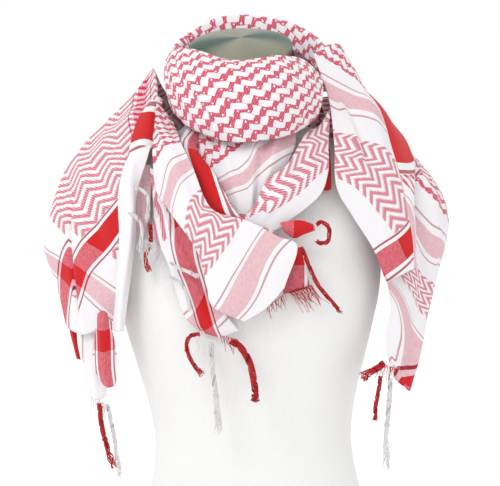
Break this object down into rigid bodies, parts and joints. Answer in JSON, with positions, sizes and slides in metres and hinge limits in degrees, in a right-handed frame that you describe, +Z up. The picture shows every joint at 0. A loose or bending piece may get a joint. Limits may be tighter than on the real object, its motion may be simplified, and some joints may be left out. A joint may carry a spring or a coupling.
{
  "type": "keffiyeh headscarf worn on a limbless dress form",
  "caption": "Square woven cotton headscarf with knotted fringe, wound round the neck of a smooth limbless dress form with a polished neck cap.",
  "frame": {"origin": "middle of the dress form's flat base", "axes": "+Z up, the front of the form faces -Y, +X is to the right seen from the front"},
  "size_m": [0.5187, 0.2933, 0.7912],
  "materials": {
    "scarf_cotton": "woven cotton, red on white, with white, pink and red bands",
    "fringe_red": "knotted red cotton warp ends",
    "fringe_white": "knotted white cotton warp ends",
    "form_jersey": "matt off-white ribbed jersey",
    "cap_chrome": "polished, brushed in rings"
  },
  "bodies": {
    "root": {"dress_form": "form_jersey", "neck_cap": "cap_chrome", "neck_wrap_front": "scarf_cotton", "neck_wrap_back": "scarf_cotton", "drape_left": "scarf_cotton", "drape_left_fold": "scarf_cotton", "drape_left_edge": "scarf_cotton", "drape_left_tip": "scarf_cotton", "drape_left_roll": "scarf_cotton", "drape_left_tail": "scarf_cotton", "drape_left_inner": "scarf_cotton", "drape_right": "scarf_cotton", "drape_right_outer": "scarf_cotton", "chest_flap": "scarf_cotton", "chest_red_band": "scarf_cotton", "chest_cowl": "scarf_cotton", "chest_panel": "scarf_cotton", "chest_under": "scarf_cotton", "chest_corner": "scarf_cotton", "chest_corner_tail": "scarf_cotton", "chest_side": "scarf_cotton", "tassel_left_drape_red": "fringe_red", "tassel_left_drape_white": "fringe_white", "tassel_left_chest_red": "fringe_red", "tassel_left_upper_white": "fringe_white", "tassel_left_lower_white": "fringe_white", "tassel_under_upper_white": "fringe_white", "tassel_under_lower_white": "fringe_white", "tassel_tip_red": "fringe_red", "tassel_tip_white": "fringe_white", "tassel_tip_long_red": "fringe_red", "tassel_corner_red": "fringe_red", "tassel_corner_loop_red": "fringe_red", "tassel_right_drape_red": "fringe_red", "tassel_right_drape_cord_red": "fringe_red", "tassel_right_drape_white": "fringe_white"}
  },
  "joints": []
}
